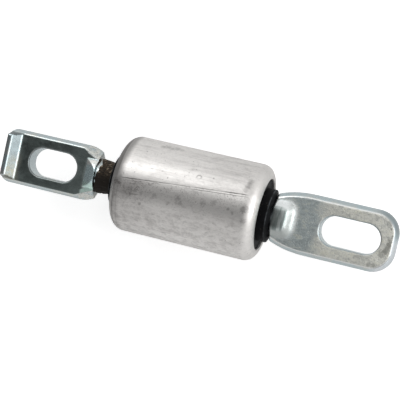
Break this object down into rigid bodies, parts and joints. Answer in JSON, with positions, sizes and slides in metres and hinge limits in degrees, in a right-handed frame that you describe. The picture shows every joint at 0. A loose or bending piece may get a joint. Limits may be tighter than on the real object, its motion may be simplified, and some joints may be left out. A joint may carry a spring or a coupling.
{
  "type": "control arm bushing",
  "caption": "Bonded rubber bush in a rolled steel sleeve, on a forged bar pin with one hooked slotted tab and one plain rounded slotted tab.",
  "frame": {"origin": "on the sleeve's axis, at the middle of its length", "axes": "+X along the bar towards the plain tab, +Z out of the tab faces on the side where the hook stands, +Y across the tabs"},
  "size_m": [0.181, 0.043, 0.043],
  "materials": {
    "sleeve_steel": "bare drawn steel, satin, with light handling stains",
    "rubber": "matt black",
    "plated_steel": "bright zinc over a forged surface, with a faint blue and yellow tint"
  },
  "bodies": {
    "sleeve": {"outer_sleeve": "sleeve_steel", "rubber": "rubber"},
    "pin": {"bar_pin": "plated_steel"}
  },
  "joints": [
    {"name": "pin_twist", "type": "hinge", "parent": "sleeve", "child": "pin", "pos_m": [0, 0, 0], "axis": [1, 0, 0], "range_deg": [-20, 20], "stiffness_Nm_per_rad": 115}
  ]
}
